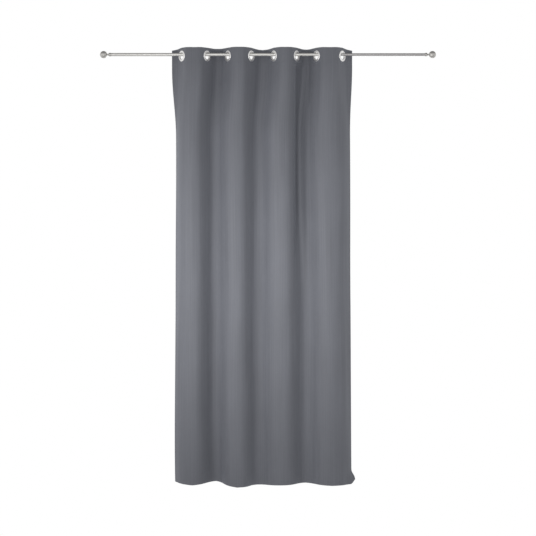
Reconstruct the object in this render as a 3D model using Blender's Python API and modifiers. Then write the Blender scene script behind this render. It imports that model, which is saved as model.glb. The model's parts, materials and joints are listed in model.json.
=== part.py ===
"""Eyelet curtain panel hung on a telescopic rod with ball finials.

Metres, +Z up. The origin is on the rod's axis, midway between the finials. +X runs along the
rod, the room is on the -Y side and the wall on the +Y side.

The panel hangs in a wave. Each fold of cloth runs from one crest of the wave to the next and
carries one eyelet at its middle, so a fold turns about upright lines: the first one about its
eyelet, each other one about the crest that it shares with the fold before it.
"""
from math import asin, cos, pi, radians, sin, sqrt, tan

import bmesh
import bpy
from mathutils import Matrix, Vector
from mathutils.geometry import interpolate_bezier

# Panel
PANEL_HEIGHT = 2.60
HEADER_HEIGHT = 0.100
EYELET_BELOW_TOP = 0.050
HEADER_SEAM = 0.008
CLOTH_THICKNESS = 0.0010
TAPE_THICKNESS = 0.0005

# Hanging wave: where each eyelet stands on the rod, and how far its cloth is turned from the wall
EYELET_X = (-0.513, -0.364, -0.239, -0.100, 0.035, 0.170, 0.290, 0.442)
EYELET_TURN_DEG = (55, 54, 56, 54, 57, 58, 55, 54)
FOLD_REACH = 0.0895           # straight line from an eyelet's centre to the crest of its fold
SIDE_EDGE_X = 0.062           # side edge beyond the end eyelet, along the rod
SIDE_EDGE_Y = 0.046           # side edge behind the rod
FOLD_ROUNDNESS = 0.42         # handle length over the chord of the curved stretch
CURVE_STEPS = 7               # points on each curved stretch
OPEN_LIMIT_DEG = 4.0          # each fold can turn this much flatter than it hangs

# Eyelets
EYELET_BORE = 0.040
EYELET_DIAMETER = 0.066
BARREL_WALL = 0.0012
FRONT_DOME = 0.0030
BACK_DOME = 0.0022
EYELET_STEPS = 20
SLANT_ALLOWANCE = 0.0019      # a slanted ring rides this much higher than a square one would

# Rod
ROD_LENGTH = 1.872            # tube end to tube end
OUTER_TUBE_DIAMETER = 0.019
TUBE_WALL = 0.0008
TELESCOPE_GAP = 0.0007        # all round the thinner tube, inside the thicker one
OUTER_TUBE_LENGTH = 1.300
TUBE_OVERLAP = 0.420
ROD_STEPS = 24

# Finials
BALL_DIAMETER = 0.043
NECK_DIAMETER = 0.010
NECK_LENGTH = 0.0105
COLLAR_LIP = 0.0011           # the collar stands this much proud of the thicker tube
COLLAR_LENGTH = 0.0120
COLLAR_CHAMFER = 0.0012
STUD_DIAMETER = 0.006
PLUG_LENGTH = 0.032
STUD_SHORT_OF_PLUG = 0.006
PLUG_LEAD_IN = 0.001
BALL_ARC_STEPS = 9

# Fits
CLEARANCE = 0.0003            # between pieces that touch
BARREL_SHORT = 0.0002         # barrel's end below the back ring's crown
FLAT_MARGIN = 0.001           # cloth stays flat this far past the eyelet's rim
SLOT_RUN_OUT = 0.004          # the header's slot is cut this far past each crest
MERGE_DISTANCE = 1e-6

# Worked out from the sizes above
HEADER_THICKNESS = 2 * CLOTH_THICKNESS + TAPE_THICKNESS + 2 * CLEARANCE
TAPE_SLOT = TAPE_THICKNESS + 2 * CLEARANCE
HEADER_SIDE_HEM = CLOTH_THICKNESS + HEADER_SEAM
INNER_TUBE_DIAMETER = OUTER_TUBE_DIAMETER - 2 * TUBE_WALL - 2 * TELESCOPE_GAP
COLLAR_DIAMETER = OUTER_TUBE_DIAMETER + 2 * COLLAR_LIP
EYELET_Z = -(EYELET_BORE / 2 - OUTER_TUBE_DIAMETER / 2 - SLANT_ALLOWANCE)
PANEL_TOP = EYELET_Z + EYELET_BELOW_TOP
PANEL_BOTTOM = PANEL_TOP - PANEL_HEIGHT
HEADER_BOTTOM = PANEL_TOP - HEADER_HEIGHT
BARREL_RADIUS = EYELET_BORE / 2 + BARREL_WALL
CLOTH_HOLE_RADIUS = BARREL_RADIUS + CLEARANCE
FLAT_ZONE = EYELET_DIAMETER / 2 + FLAT_MARGIN
CREST_TAPER = tan(radians(OPEN_LIMIT_DEG + 1))
ROD_START = -ROD_LENGTH / 2
ROD_END = ROD_LENGTH / 2
FOLD_COUNT = len(EYELET_X)


# Scene and materials

def clear_scene():
    for old in list(bpy.data.objects):
        bpy.data.objects.remove(old, do_unlink=True)


def new_collection(name):
    collection = bpy.data.collections.new(name)
    bpy.context.scene.collection.children.link(collection)
    return collection


def principled(name, colour, roughness, metallic):
    material = bpy.data.materials.new(name)
    material.use_nodes = True
    shader = material.node_tree.nodes["Principled BSDF"]
    shader.inputs["Base Color"].default_value = (*colour, 1)
    shader.inputs["Roughness"].default_value = roughness
    shader.inputs["Metallic"].default_value = metallic
    material.diffuse_color = (*colour, 1)
    return material


def joint_axis(name, x, y, z):
    """An empty on a joint's axis, which the pieces of one moving body are parented to."""
    empty = bpy.data.objects.new(name, None)
    empty.empty_display_size = 0.03
    empty.location = (x, y, z)
    PARTS.objects.link(empty)
    return empty


def attach(piece, empty):
    piece.parent = empty
    piece.matrix_parent_inverse = Matrix.Translation(empty.location).inverted()


# Shape makers

def as_cutter(piece):
    piece.hide_render = True
    piece.display_type = "WIRE"


def prism(name, outline, low, high, collection, material=None):
    """A filled plan outline stood up between two heights, as one closed mesh."""
    curve = bpy.data.curves.new(name, "CURVE")
    curve.dimensions = "2D"
    curve.fill_mode = "BOTH"
    curve.extrude = (high - low) / 2
    spline = curve.splines.new("POLY")
    spline.points.add(len(outline) - 1)
    for point, place in zip(spline.points, outline):
        point.co = (place.x, place.y, 0, 1)
    spline.use_cyclic_u = True
    guide = bpy.data.objects.new(name + "_outline", curve)
    guide.location.z = (high + low) / 2
    collection.objects.link(guide)
    depsgraph = bpy.context.evaluated_depsgraph_get()
    mesh = bpy.data.meshes.new_from_object(guide.evaluated_get(depsgraph))
    weld = bmesh.new()
    weld.from_mesh(mesh)
    bmesh.ops.remove_doubles(weld, verts=weld.verts, dist=MERGE_DISTANCE)
    bmesh.ops.recalc_face_normals(weld, faces=weld.faces)
    weld.to_mesh(mesh)
    weld.free()
    piece = bpy.data.objects.new(name, mesh)
    piece.matrix_world = guide.matrix_world
    collection.objects.link(piece)
    bpy.data.objects.remove(guide, do_unlink=True)
    if material:
        mesh.materials.append(material)
    return piece


def turned(name, profile, steps, matrix, material, closed=False):
    """A profile of (radius, height) points, outer side running down, turned about local Z."""
    mesh = bpy.data.meshes.new(name)
    edges = [(i, i + 1) for i in range(len(profile) - 1)]
    if closed:
        edges.append((len(profile) - 1, 0))
    mesh.from_pydata([(radius, 0, height) for radius, height in profile], edges, [])
    mesh.materials.append(material)
    piece = bpy.data.objects.new(name, mesh)
    piece.matrix_world = matrix
    PARTS.objects.link(piece)
    screw = piece.modifiers.new("Turn", "SCREW")
    screw.axis = "Z"
    screw.angle = 2 * pi
    screw.steps = steps
    screw.render_steps = steps
    screw.use_merge_vertices = True
    screw.merge_threshold = MERGE_DISTANCE
    screw.use_smooth_shade = True
    return piece


def boolean(piece, tool):
    modifier = piece.modifiers.new("Cut", "BOOLEAN")
    modifier.operation = "DIFFERENCE"
    modifier.solver = "EXACT"
    modifier.object = tool


# Plan shape of the wave

def half_fold(turn, reach):
    """Plan points from the end of an eyelet's flat zone out to where the cloth lies level."""
    heading = Vector((cos(turn), sin(turn)))
    flat_end = FLAT_ZONE * heading
    handle = FOLD_ROUNDNESS * (reach - flat_end).length
    start_handle = (flat_end + handle * heading).to_3d()
    end_handle = Vector((reach.x - handle, reach.y, 0))
    curve = interpolate_bezier(flat_end.to_3d(), start_handle, end_handle, reach.to_3d(), CURVE_STEPS)
    return [point.to_2d() for point in curve]


def crest_depth(gap):
    """How far a crest stands from the rod's axis where its two eyelets are this far apart."""
    return sqrt(FOLD_REACH ** 2 - (gap / 2) ** 2)


def towards_room(index):
    """-1 where the right half of a fold runs to the room side, +1 where it runs to the wall."""
    return -1 if index % 2 == 0 else 1


def fold_reach(index, side):
    """From an eyelet to the crest or side edge at its left (-1) or right (+1), as lengths."""
    neighbour = index + side
    if neighbour < 0 or neighbour >= FOLD_COUNT:
        return Vector((SIDE_EDGE_X, SIDE_EDGE_Y))
    gap = abs(EYELET_X[neighbour] - EYELET_X[index])
    return Vector((gap / 2, crest_depth(gap)))


def cut_back(line, distance):
    """The line without this length of its start."""
    for index, (start, end) in enumerate(zip(line, line[1:])):
        length = (end - start).length
        if distance < length:
            return [start.lerp(end, distance / length)] + line[index + 1:]
        distance -= length


def fold_line(index, side_hem=0):
    """The middle of the cloth in plan, left to right, cut back at the panel's side edges."""
    turn = radians(EYELET_TURN_DEG[index])
    lean = towards_room(index)
    left = [
        Vector((EYELET_X[index] - point.x, -lean * point.y))
        for point in half_fold(turn, fold_reach(index, -1))
    ]
    right = [
        Vector((EYELET_X[index] + point.x, lean * point.y))
        for point in half_fold(turn, fold_reach(index, 1))
    ]
    line = left[::-1] + right
    if index == 0:
        line = cut_back(line, side_hem)
    if index == FOLD_COUNT - 1:
        line = cut_back(line[::-1], side_hem)[::-1]
    return line


def crest_pivot(index):
    """The upright line that fold index and the next one turn about: the crest's inner face."""
    reach = fold_reach(index, 1)
    inner_depth = reach.y - HEADER_THICKNESS / 2
    return Vector((EYELET_X[index] + reach.x, towards_room(index) * inner_depth))


def sideways(line, distance):
    """The line moved to its left by a distance, with its bends mitred."""
    headings = [(after - before).normalized() for before, after in zip(line, line[1:])]
    moved = []
    for index, point in enumerate(line):
        before = headings[max(index - 1, 0)]
        after = headings[min(index, len(headings) - 1)]
        normal = Vector((-before.y - after.y, before.x + after.x)).normalized()
        mitre = distance / normal.dot(Vector((-after.y, after.x)))
        moved.append(point + mitre * normal)
    return moved


def taper_end(point, pivot, side):
    """Draw an end corner back from its crest, more the farther it lies from the pivot."""
    setback = CLEARANCE / 2 + abs(point.y - pivot.y) * CREST_TAPER
    point.x = pivot.x - side * setback


def fold_outline(index, thickness, side_hem=0):
    """Closed plan outline of one fold, with both crest ends tapered."""
    line = fold_line(index, side_hem)
    faces = [sideways(line, thickness / 2), sideways(line, -thickness / 2)]
    for face in faces:
        if index > 0:
            taper_end(face[0], crest_pivot(index - 1), -1)
        if index < FOLD_COUNT - 1:
            taper_end(face[-1], crest_pivot(index), 1)
    return faces[0] + faces[1][::-1]


def slot_outline(index):
    """Plan outline of the header's slot: open at crests, closed short of the side edges."""
    line = fold_line(index, HEADER_SIDE_HEM)
    run_out = Vector((SLOT_RUN_OUT, 0))
    if index > 0:
        line.insert(0, line[0] - run_out)
    if index < FOLD_COUNT - 1:
        line.append(line[-1] + run_out)
    return sideways(line, TAPE_SLOT / 2) + sideways(line, -TAPE_SLOT / 2)[::-1]


# Pieces of the panel

def eyelet_matrix(index):
    """At the eyelet's centre, with local Z square to the cloth and pointing to the room."""
    turn = radians(EYELET_TURN_DEG[index]) * towards_room(index)
    place = Matrix.Translation((EYELET_X[index], 0, EYELET_Z))
    return place @ Matrix.Rotation(turn, 4, "Z") @ Matrix.Rotation(pi / 2, 4, "X")


def eyelet_cutter(index):
    """Cylinder that cuts the eyelet's hole through the header and its tape."""
    tool_mesh = bpy.data.meshes.new("hole_tool")
    cylinder = bmesh.new()
    bmesh.ops.create_cone(
        cylinder, cap_ends=True, segments=EYELET_STEPS, radius1=CLOTH_HOLE_RADIUS,
        radius2=CLOTH_HOLE_RADIUS, depth=4 * HEADER_THICKNESS,
    )
    cylinder.to_mesh(tool_mesh)
    cylinder.free()
    tool = bpy.data.objects.new(f"hole_tool_{index + 1}", tool_mesh)
    tool.matrix_world = eyelet_matrix(index)
    CUTTERS.objects.link(tool)
    as_cutter(tool)
    return tool


def cloth_fold(index):
    """Single cloth from crest to crest, from the hem up to the header's seam."""
    return prism(
        f"cloth_fold_{index + 1}", fold_outline(index, CLOTH_THICKNESS),
        PANEL_BOTTOM, HEADER_BOTTOM - CLEARANCE, PARTS, CLOTH,
    )


def cloth_header(index, hole):
    """The cloth's turned-over top, hollow for the tape, with the eyelet's hole through it."""
    header = prism(
        f"cloth_header_{index + 1}", fold_outline(index, HEADER_THICKNESS),
        HEADER_BOTTOM, PANEL_TOP, PARTS, CLOTH,
    )
    slot = prism(
        f"slot_tool_{index + 1}", slot_outline(index),
        HEADER_BOTTOM + HEADER_SEAM, PANEL_TOP - CLOTH_THICKNESS, CUTTERS,
    )
    as_cutter(slot)
    boolean(header, slot)
    boolean(header, hole)
    return header


def header_tape(index, hole):
    """Stiffening tape inside the header, short of the side hems, with the eyelet's hole through it."""
    outline = fold_outline(index, TAPE_THICKNESS, HEADER_SIDE_HEM + CLEARANCE)
    low = HEADER_BOTTOM + HEADER_SEAM + CLEARANCE
    high = PANEL_TOP - CLOTH_THICKNESS - CLEARANCE
    tape = prism(f"header_tape_{index + 1}", outline, low, high, PARTS, TAPE)
    boolean(tape, hole)
    return tape


def front_ring(index):
    """Eyelet front: a domed flange on the room side, with the barrel that passes the header."""
    seat = HEADER_THICKNESS / 2 + CLEARANCE
    bore = EYELET_BORE / 2
    rim = EYELET_DIAMETER / 2
    width = rim - bore
    barrel_end = -(seat + BACK_DOME - BARREL_SHORT)
    profile = [
        (bore + 0.10 * width, seat + 0.80 * FRONT_DOME),
        (bore + 0.40 * width, seat + FRONT_DOME),
        (bore + 0.80 * width, seat + 0.75 * FRONT_DOME),
        (rim, seat + 0.20 * FRONT_DOME),
        (rim, seat),
        (BARREL_RADIUS, seat),
        (BARREL_RADIUS, barrel_end),
        (bore, barrel_end),
        (bore, seat),
    ]
    name = f"eyelet_front_{index + 1}"
    return turned(name, profile, EYELET_STEPS, eyelet_matrix(index), RING_METAL, closed=True)


def back_ring(index):
    """Eyelet back: the flange that the barrel clenches onto, on the wall side."""
    seat = HEADER_THICKNESS / 2 + CLEARANCE
    inner = BARREL_RADIUS + CLEARANCE
    rim = EYELET_DIAMETER / 2
    width = rim - inner
    profile = [
        (inner, -seat),
        (rim, -seat),
        (rim, -seat - 0.25 * BACK_DOME),
        (inner + 0.70 * width, -seat - 0.90 * BACK_DOME),
        (inner + 0.35 * width, -seat - BACK_DOME),
        (inner, -seat - BACK_DOME),
    ]
    name = f"eyelet_back_{index + 1}"
    return turned(name, profile, EYELET_STEPS, eyelet_matrix(index), RING_METAL, closed=True)


def build_fold(index):
    """One body of the panel: its cloth, tape and eyelet, hung on an upright axis."""
    if index == 0:
        pivot = Vector((EYELET_X[0], 0))
    else:
        pivot = crest_pivot(index - 1)
    axis = joint_axis(f"fold_{index + 1}_axis", pivot.x, pivot.y, EYELET_Z)
    hole = eyelet_cutter(index)
    pieces = (
        cloth_fold(index), cloth_header(index, hole), header_tape(index, hole),
        front_ring(index), back_ring(index),
    )
    for piece in pieces:
        attach(piece, axis)


# Pieces of the rod

def tube(name, diameter, start, length, material):
    """A tube along the rod's axis, open at both ends."""
    outer = diameter / 2
    inner = outer - TUBE_WALL
    profile = [(inner, length), (outer, length), (outer, 0), (inner, 0)]
    along_rod = Matrix.Translation((start, 0, 0)) @ Matrix.Rotation(pi / 2, 4, "Y")
    return turned(name, profile, ROD_STEPS, along_rod, material, closed=True)


def ball_profile():
    """Ball, neck and stud in one turning; height 0 is the tube's end face."""
    radius = BALL_DIAMETER / 2
    neck = NECK_DIAMETER / 2
    stud = STUD_DIAMETER / 2
    neck_foot = COLLAR_LENGTH + 2 * CLEARANCE
    centre = neck_foot + NECK_LENGTH + sqrt(radius ** 2 - neck ** 2)
    last_angle = pi - asin(neck / radius)
    angles = [last_angle * step / BALL_ARC_STEPS for step in range(BALL_ARC_STEPS + 1)]
    ball = [(radius * sin(angle), centre + radius * cos(angle)) for angle in angles]
    stud_end = -(PLUG_LENGTH - STUD_SHORT_OF_PLUG)
    return ball + [(neck, neck_foot), (stud, neck_foot), (stud, stud_end), (0, stud_end)]


def collar_profile():
    """The ring between the finial's neck and the tube's end."""
    hole = STUD_DIAMETER / 2 + CLEARANCE
    rim = COLLAR_DIAMETER / 2
    low = CLEARANCE
    high = CLEARANCE + COLLAR_LENGTH
    return [
        (hole, high), (rim - COLLAR_CHAMFER, high), (rim, high - COLLAR_CHAMFER),
        (rim, low + COLLAR_CHAMFER), (rim - COLLAR_CHAMFER, low), (hole, low),
    ]


def plug_profile(tube_diameter):
    """The sleeve that grips inside the tube and holds the finial's stud."""
    hole = STUD_DIAMETER / 2 + CLEARANCE
    rim = tube_diameter / 2 - TUBE_WALL - CLEARANCE
    return [
        (hole, 0), (rim, 0), (rim, PLUG_LEAD_IN - PLUG_LENGTH),
        (rim - PLUG_LEAD_IN, -PLUG_LENGTH), (hole, -PLUG_LENGTH),
    ]


def build_finial(side, end, outward, tube_diameter):
    """Ball, collar and plug on one tube end, which pull out together along the rod."""
    place = Matrix.Translation((end, 0, 0)) @ Matrix.Rotation(outward * pi / 2, 4, "Y")
    axis = joint_axis(f"{side}_finial_axis", end, 0, 0)
    pieces = (
        turned(f"{side}_finial_ball", ball_profile(), ROD_STEPS, place, FINIAL_METAL),
        turned(f"{side}_finial_collar", collar_profile(), ROD_STEPS, place, FINIAL_METAL, closed=True),
        turned(f"{side}_finial_plug", plug_profile(tube_diameter), ROD_STEPS, place, PLASTIC, closed=True),
    )
    for piece in pieces:
        attach(piece, axis)


def build_rod():
    """Two tubes, the thinner one running inside the other, with a finial on each end."""
    tube("rod_outer_tube", OUTER_TUBE_DIAMETER, ROD_START, OUTER_TUBE_LENGTH, OUTER_METAL)
    inner_start = ROD_START + OUTER_TUBE_LENGTH - TUBE_OVERLAP
    inner = tube("rod_inner_tube", INNER_TUBE_DIAMETER, inner_start, ROD_END - inner_start, INNER_METAL)
    attach(inner, joint_axis("inner_tube_axis", inner_start, 0, 0))
    build_finial("left", ROD_START, -1, OUTER_TUBE_DIAMETER)
    build_finial("right", ROD_END, 1, INNER_TUBE_DIAMETER)


clear_scene()
PARTS = new_collection("eyelet_curtain_panel")
CUTTERS = new_collection("cutters")
CLOTH = principled("grey_cloth", (0.105, 0.112, 0.127), 0.85, 0.0)
TAPE = principled("header_tape", (0.72, 0.72, 0.70), 0.9, 0.0)
RING_METAL = principled("eyelet_metal", (0.78, 0.78, 0.77), 0.28, 1.0)
OUTER_METAL = principled("outer_tube_metal", (0.74, 0.74, 0.73), 0.35, 1.0)
INNER_METAL = principled("inner_tube_metal", (0.58, 0.57, 0.57), 0.35, 1.0)
FINIAL_METAL = principled("finial_metal", (0.62, 0.61, 0.58), 0.3, 1.0)
PLASTIC = principled("plug_plastic", (0.82, 0.82, 0.80), 0.5, 0.0)
build_rod()
for fold in range(FOLD_COUNT):
    build_fold(fold)
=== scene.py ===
"""Looks of the eyelet curtain panel: its draped cloth, sewing, eyelets, rod and finials.

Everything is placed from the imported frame: metres, +X along the rod, the room on the -Y side and
the wall on the +Y side. The cloth is one sheet at its cut size: across runs over its width from
the left side edge, and drop runs down from its top edge.
"""
import json
from math import asin, cos, pi, radians, sin

import bpy
import numpy as np
from mathutils import Matrix, Vector


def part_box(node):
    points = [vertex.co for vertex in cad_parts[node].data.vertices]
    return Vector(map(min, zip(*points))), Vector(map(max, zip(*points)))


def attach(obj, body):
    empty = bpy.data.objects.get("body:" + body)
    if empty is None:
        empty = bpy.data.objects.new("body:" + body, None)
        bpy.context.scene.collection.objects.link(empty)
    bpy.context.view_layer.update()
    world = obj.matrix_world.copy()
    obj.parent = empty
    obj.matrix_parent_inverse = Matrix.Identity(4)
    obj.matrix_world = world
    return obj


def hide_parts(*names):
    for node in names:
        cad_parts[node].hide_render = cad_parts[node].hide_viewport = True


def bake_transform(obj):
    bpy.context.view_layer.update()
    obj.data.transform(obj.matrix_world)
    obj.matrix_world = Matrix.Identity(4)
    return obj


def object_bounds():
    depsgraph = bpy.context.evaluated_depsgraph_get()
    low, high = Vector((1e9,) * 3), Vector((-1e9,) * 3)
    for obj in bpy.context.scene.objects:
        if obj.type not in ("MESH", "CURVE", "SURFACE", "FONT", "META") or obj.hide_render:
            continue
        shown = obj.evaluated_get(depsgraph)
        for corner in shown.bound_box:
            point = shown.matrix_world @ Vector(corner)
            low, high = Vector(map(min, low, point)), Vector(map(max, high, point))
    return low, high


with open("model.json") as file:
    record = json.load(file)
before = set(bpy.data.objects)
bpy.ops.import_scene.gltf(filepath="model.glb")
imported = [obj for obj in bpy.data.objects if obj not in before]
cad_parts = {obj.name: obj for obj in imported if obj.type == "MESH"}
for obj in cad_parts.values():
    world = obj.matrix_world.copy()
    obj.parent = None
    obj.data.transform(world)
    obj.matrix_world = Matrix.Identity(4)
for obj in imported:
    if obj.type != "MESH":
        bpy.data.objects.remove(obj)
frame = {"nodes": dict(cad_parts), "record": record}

CAD_LOW, CAD_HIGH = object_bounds()
FOLDS = 8                      # each carries one eyelet

# Cloth: across runs over its width, drop runs down from its top edge
CLOTH_THICKNESS = 0.0008
HEADER_HALF = 0.0018           # from the header's middle to each face
HEADER_HEIGHT = 0.100
HEADER_TAPER = 0.30            # the room face eases back to the cloth's own half over this drop
FLAT_ZONE = 0.034              # the cloth is flat this far either side of an eyelet
FOLD_ROUNDNESS = 0.42          # handle over chord of the header's curved stretches
SIDE_EDGE = (0.062, 0.046)     # side edge from the end eyelet: along the rod, towards the wall
HOLE_RADIUS = 0.026            # the cloth stops about this far from an eyelet's centre
CLOTH_MAP = "cloth"            # map of across and drop, in metres
FLAT_POINTS = 24
CURVE_POINTS = 60
WAVE_POINTS = 120

# Hems
HEM_HEIGHT = 0.022
SIDE_HEM = 0.016
HEM_LAYERS = 2                 # layers of cloth that a hem adds behind
HEM_SHOWS = 0.00025            # how far a hem swells the room face
HEM_LEAD = 0.0005              # a hem's inner edge starts this much early
FLAP_LEAD = 0.0004             # the header's flap ends this much early
STEP_OVER = 0.0010             # both edges step down over this width
EDGE_RADIUS = 0.0016
EDGE_BLUNT = 0.15              # share of the thickness that an edge keeps

# The wave below the header and at the hem: left edge, seven crests, right edge, in plan
SOFT_LINE = (
    (-0.553, 0.056), (-0.446, -0.043), (-0.320, 0.044), (-0.188, -0.048), (-0.058, 0.044),
    (0.084, -0.053), (0.202, 0.051), (0.354, -0.041), (0.488, 0.054),
)
HEM_LINE = (
    (-0.558, 0.050), (-0.448, -0.037), (-0.312, 0.047), (-0.184, -0.048), (-0.066, 0.034),
    (0.090, -0.037), (0.224, 0.040), (0.376, -0.039), (0.500, 0.043),
)
# Handle at each of them, over the width to its neighbour: long is broad, short is tight
SOFT_HANDLES = (0.45, 0.62, 0.42, 0.64, 0.42, 0.76, 0.42, 0.60, 0.45)
HEM_HANDLES = (0.45, 0.60, 0.42, 0.62, 0.44, 0.60, 0.42, 0.60, 0.50)
EDGE_HANDLE = np.array([0.175, 0.385])         # at a side edge, over the step to its neighbour
SOFTENS_BELOW = 0.004          # the soft wave starts this far below the header
SOFTENS_OVER = 0.42            # and the header's shape fades into it over this drop

# Heights, at the left edge, the crests and the right edge: the hem rises, the top edge sags
HEM_RISE = (0.008, -0.005, 0.011, -0.017, -0.009, -0.005, 0.002, -0.008, -0.004)
TOP_SAG = (0.0, 0.003, -0.001, 0.002, 0.007, 0.003, 0.003, 0.003, 0.0)
TOP_SAG_OVER = 0.045
CORNER_DROOP = 0.012           # both top corners
CORNER_DROOP_WIDTH = 0.085
CORNER_DROOP_POWER = 1.3
CORNER_DROOP_START = 0.02
CORNER_DROOP_OVER = 0.5

# The hem's right corner curls up, out and towards the wall
CORNER_LIFT = 0.024
CORNER_LIFT_SIZE = (0.030, 0.10)
CORNER_FLARE = (0.022, 0.006)
CORNER_FLARE_SIZE = (0.060, 0.085)

# A sharp tuck right of the third front crest: it starts at the header and opens out below
TUCK_PLACE = 0.158             # along the rod
TUCK_DEPTH = 0.034
TUCK_LEAD = 0.009
TUCK_WALL = 0.019
TUCK_BACK = (0.010, 0.070)     # where it starts to come forward again, and over what width
TUCK_HEAD = (-0.012, 0.030)    # from the header's lower edge: start, and over what drop
TUCK_FOOT = (0.75, 0.85)       # the drop where it starts to open out, and over what drop

# Small creases at the back crests, under the rod
CREASES = (0.0012, 0.0010, 0.0024)
CREASE_HEAD = (0.050, 0.030)
CREASE_FOOT = (0.115, 0.060)
CREASE_PINCH = (-0.004, 0.0045)        # from the crest, and half width
CREASE_SWELL = (0.008, 0.008)
CREASE_SWELL_SHARE = 0.35

# Noise: cells of its lattice before it repeats, and the cell that it starts in
LATTICE = (97, 89)
LATTICE_START = (31, 17)
# Slow wandering below the header: cell width, cell height, amount and seed of each layer
WANDER_ALONG = ((0.12, 0.75, 0.0045, 3), (0.05, 0.40, 0.0012, 4))
WANDER_DEEP = ((0.11, 0.70, 0.0050, 5), (0.034, 0.30, 0.0011, 6))

# Puckers beside the seams, in the same four values
HEADER_PUCKER = ((0.0105, 0.05, 0.00032, 11),)
HEM_PUCKER = ((0.0115, 0.05, 0.00040, 12),)
SIDE_PUCKER = ((0.05, 0.022, 0.00045, 13),)
HEADER_PUCKER_PLACE = (0.004, 0.022)   # below the header's edge, and half width
HEM_PUCKER_WIDTH = 0.020
SIDE_PUCKER_WIDTH = 0.012
SIDE_PUCKER_START = (0.12, 0.05)

# Sewing
SEAM_UP = 0.006                # header seam above the flap's edge
STITCH_INSET = 0.0035          # stitches inside a hem's inner edge
STITCH_LENGTH = 0.0030
STITCH_PITCH = 0.0042
STITCH_WIDTH = 0.00050
STITCH_RING = ((0.5, 0.0), (0.0, 0.55), (-0.5, 0.0), (0.0, -0.35))     # sideways and raised
STITCH_WAIST = 0.55            # the two rings' places along a stitch's half
STITCH_LIFT = 0.2
STITCH_SINK = 0.4
HEADER_SEAM_PINCH = (0.00085, 0.0016)  # depth and half width
HEM_SEAM_PINCH = (0.00038, 0.0018)
SIDE_SEAM_WIDTH = 0.0016
BACK_PINCH = 0.8

# Stiffening tape in the header, from the side edges, the top edge and the header's lower edge
TAPE_THICKNESS = 0.0005
TAPE_INSET = 0.0090
TAPE_TOP = 0.0020
TAPE_FOOT = 0.0080

# Grid of the cloth: steps, and the closer lines where its thickness changes
COLUMN_STEP = 0.0042
HEADER_STEP = 0.0045
DROP_STEP = 0.014
SIDE_CLEAR = 0.0205            # plain columns start this far from a side edge
HEADER_ROWS = (0.0100, 0.0120)         # plain header rows: below the top, above the lower edge
PLAIN_ROWS = (0.018, 0.040)            # plain rows: below the header, above the hem's edge
SIDE_LINES = np.array([
    0, 0.0005, 0.0012, 0.0022, 0.0045, 0.0085, 0.0110, 0.0125, 0.0140, 0.0154, 0.0164, 0.0180,
])
TOP_LINES = np.array([0, 0.0003, 0.0009, 0.0018, 0.0032, 0.0055])
SEAM_LINES = np.array([
    -0.0100, -0.0082, -0.0071, -0.0060, -0.0049, -0.0034, -0.0015, -0.0004,
    0.0004, 0.0015, 0.0035, 0.0070, 0.0115,
])
HEM_LINES = np.array([
    0.0340, 0.0290, 0.0252, 0.0232, 0.0222, 0.0216, 0.0203, 0.0185, 0.0170,
    0.0150, 0.0120, 0.0085, 0.0055, 0.0032, 0.0018, 0.0009, 0.0003, 0,
])
SAME_LINE = 1e-7               # places closer than this are on one grid line

# Eyelets
EYELET_STEPS = 96
EYELET_BORE = 0.040
EYELET_DIAMETER = 0.066
EYELET_WALL = 0.0012
EYELET_SEAT = 0.00185          # from the header's middle to each flange
FRONT_DOME = 0.0030
FRONT_CROWN = 0.42             # the crown's place between bore and rim
BACK_DOME = 0.0022
BACK_CROWN = 0.36
BARREL_REACH = 0.8             # how far the barrel ends up in the back dome
EYELET_FIT = 0.0001
EYELET_LIP = 0.0002            # the room side's bore lip rolls in this much deeper
EYELET_RIM = 0.0004

# Rod and finials
ROD_STEPS = 72
TUBE_WALL = 0.0008
TUBE_LIP = 0.0003
FINIAL_FIT = 0.0003
BALL_STEPS = 40
BALL_TOP = 0.02                # angle at the tip, where the ball closes
NECK_RADIUS = 0.005
NECK_FLARE = 0.10
NECK_COVE = (0.15, 0.72)       # where the neck's cove starts and ends, over its length
BEAD_RADIUS = 0.0016
STUD_RADIUS = 0.003
STUD_TIP = 0.00005
COLLAR_SHOULDER = 0.0018
GROOVE_DEPTH = 0.0007
GROOVE_MOUTH = 0.0010          # half widths
GROOVE_FLOOR = 0.0004

# Colours
CLOTH_COLOUR = (0.108, 0.112, 0.128)
SHEEN_TINT = (0.86, 0.90, 1.0)
TAPE_COLOUR = (0.72, 0.72, 0.70)
PLASTIC_COLOUR = (0.82, 0.82, 0.80)
EYELET_COLOUR = (0.88, 0.87, 0.86)
OUTER_TUBE_COLOUR = (0.64, 0.63, 0.61)
INNER_TUBE_COLOUR = (0.43, 0.42, 0.42)
FINIAL_COLOUR = (0.50, 0.49, 0.47)
FLOOR_COLOUR = (0.86, 0.86, 0.86)
YARN_PITCH = 0.0009

# Studio
CAMERA_DISTANCE = 10.0
CAMERA_HEIGHT = -1.272
VIEW_WIDTH = 3.195             # width seen at the rod
SENSOR = 36.0
FAR_CLIP = 100
FLOOR_BELOW = 0.40
FLOOR_SIDE = 5.0
FLOOR_FRONT = -7.0
FLOOR_BACK = 0.35              # it ends here, so that the camera sees none of it
FLOOR_GLOW = 0.20
WORLD_TOP = 0.35               # the surroundings' brightness overhead, against 1 at eye level
WORLD_BOTTOM = 0.8             # and underneath
WORLD_FADE = (0.26, 0.75)      # sines of the height angles where it starts and stops dimming
# Each light's name, place, size, power and spread in degrees; they face the panel's middle
LIGHTS = (
    ("front", (-1.15, -3.83, CAMERA_HEIGHT), (1.0, 0.6), 8.3, 50),
    ("side", (-3.15, -2.46, CAMERA_HEIGHT), (1.0, 0.6), 4.2, 50),
    ("back", (0.9, 3.9, CAMERA_HEIGHT), (1.2, 1.2), 5.0, 60),
)


# Reading the frame

def joint_place(name):
    joints = frame["record"]["behaviour"]["joints"]
    return next(Vector(joint["pos_m"]) for joint in joints if joint["name"] == name)


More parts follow.
